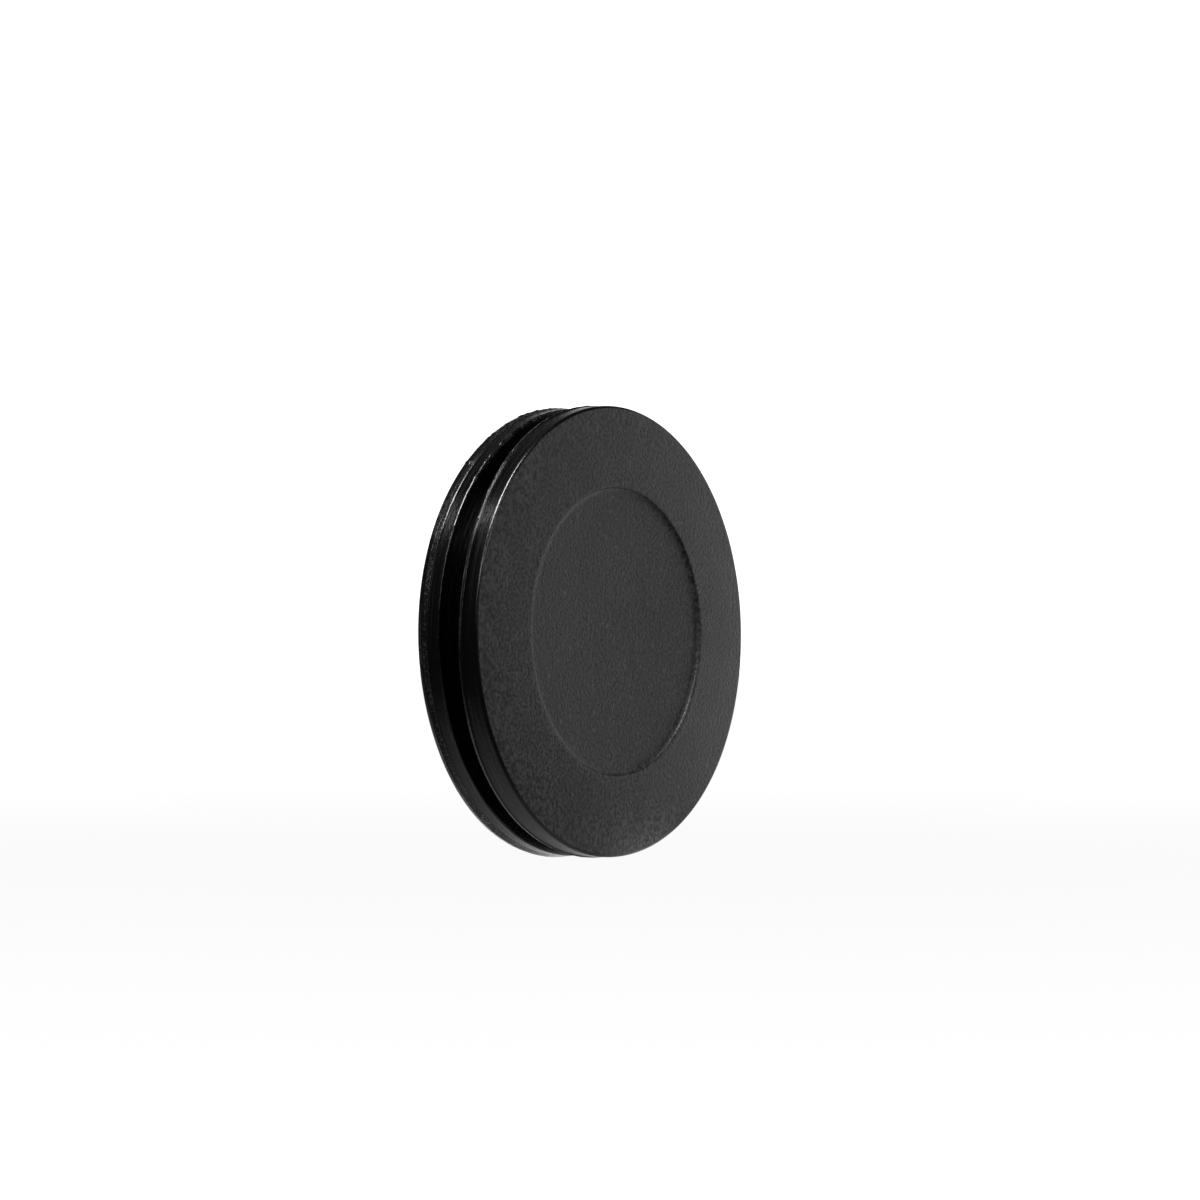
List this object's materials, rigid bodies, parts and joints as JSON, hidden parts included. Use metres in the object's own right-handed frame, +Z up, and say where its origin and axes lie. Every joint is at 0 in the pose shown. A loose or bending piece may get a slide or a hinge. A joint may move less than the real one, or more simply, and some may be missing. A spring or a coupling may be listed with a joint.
{
  "type": "closed cable grommet",
  "caption": "Closed black rubber grommet that snaps into a round panel hole and blanks it with a thin membrane.",
  "frame": {"origin": "on the grommet's axis, in the plane where the front flange's back lies on the panel's visible surface", "axes": "+Y along the grommet's axis, from the visible face into the panel, and +Z up"},
  "size_m": [0.038, 0.0063, 0.038],
  "materials": {
    "ring_rubber": "matte, finely pitted, with smoother rims",
    "membrane_rubber": "matte, finely pitted"
  },
  "bodies": {
    "root": {"grommet_ring": "ring_rubber", "blanking_membrane": "membrane_rubber"}
  },
  "joints": []
}
